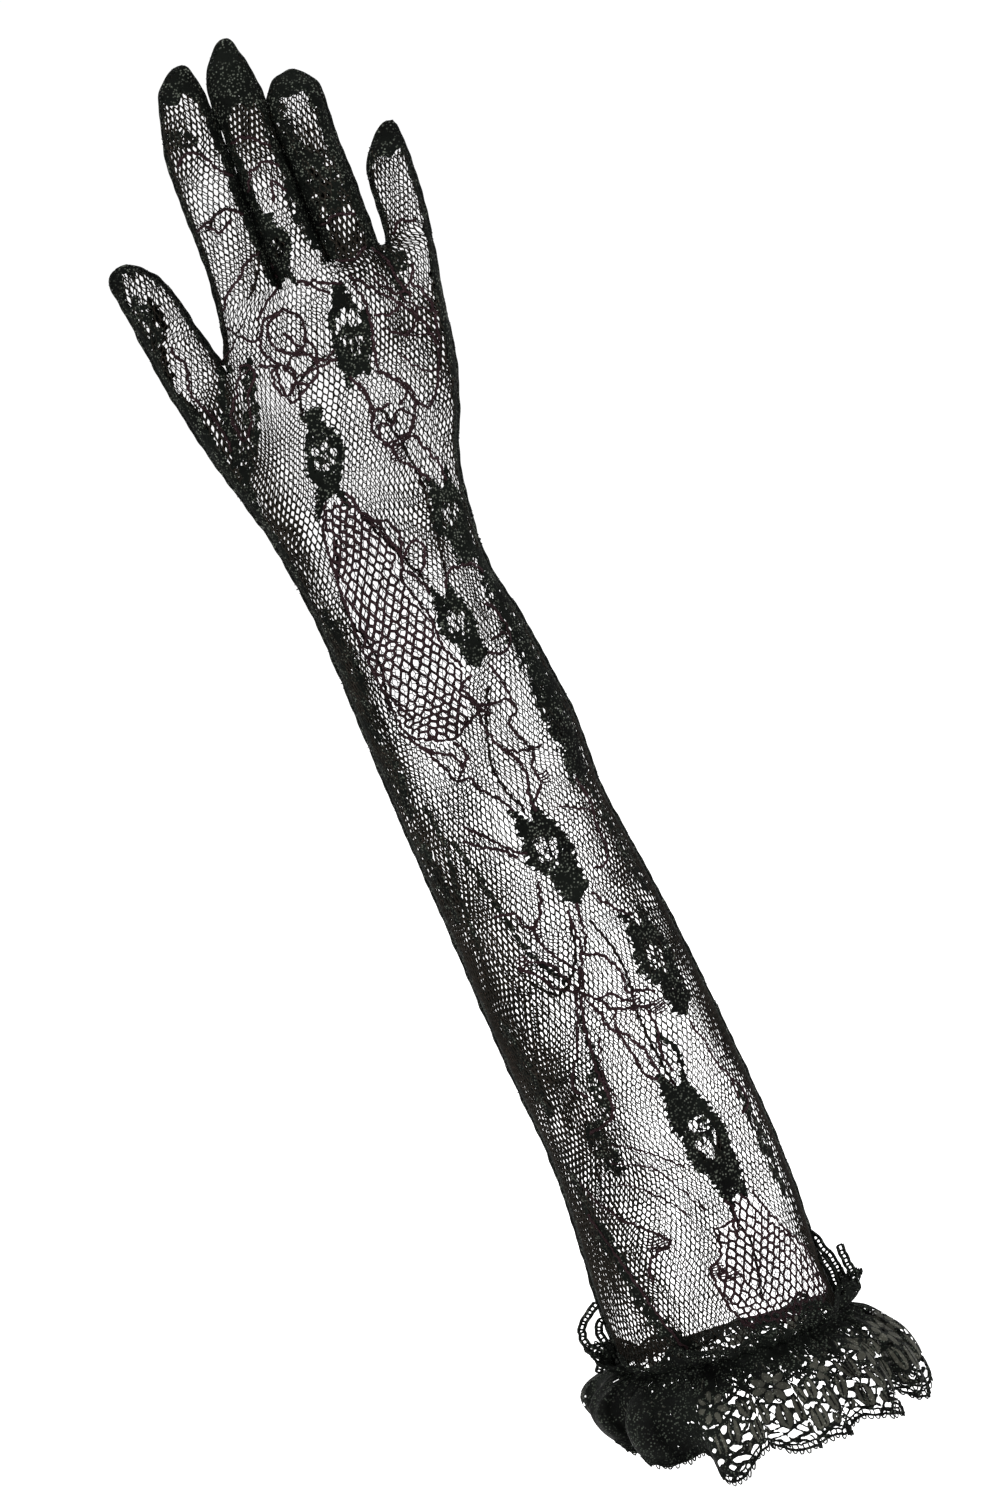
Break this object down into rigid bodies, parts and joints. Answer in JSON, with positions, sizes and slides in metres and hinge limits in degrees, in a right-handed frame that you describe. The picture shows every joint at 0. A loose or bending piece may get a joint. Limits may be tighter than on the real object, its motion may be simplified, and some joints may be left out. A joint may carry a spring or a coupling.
{
  "type": "lace glove",
  "caption": "Long black lace dress glove for a right hand, forearm length, with closed fingers and a gathered lace ruffle round the arm opening.",
  "frame": {"origin": "middle of the arm opening, just under the ruffle's gather line", "axes": "+Z along the forearm towards the fingertips, +X towards the little finger's side, -Y out of the back of the hand"},
  "size_m": [0.1156, 0.1126, 0.4883],
  "materials": {
    "lace": "fine net of black nylon thread with dense floral motifs, slightly shiny",
    "ruffle_lace": "heavier black trimming lace with a scalloped corded edge, slightly shiny",
    "thread": "black sewing thread with a satin shine"
  },
  "bodies": {
    "root": {"sleeve_back": "lace", "sleeve_palm": "lace", "hand_back": "lace", "hand_palm": "lace", "thumb_back": "lace", "thumb_palm": "lace", "index_back": "lace", "index_palm": "lace", "middle_back": "lace", "middle_palm": "lace", "ring_back": "lace", "ring_palm": "lace", "little_back": "lace", "little_palm": "lace", "ruffle": "ruffle_lace"}
  },
  "joints": []
}
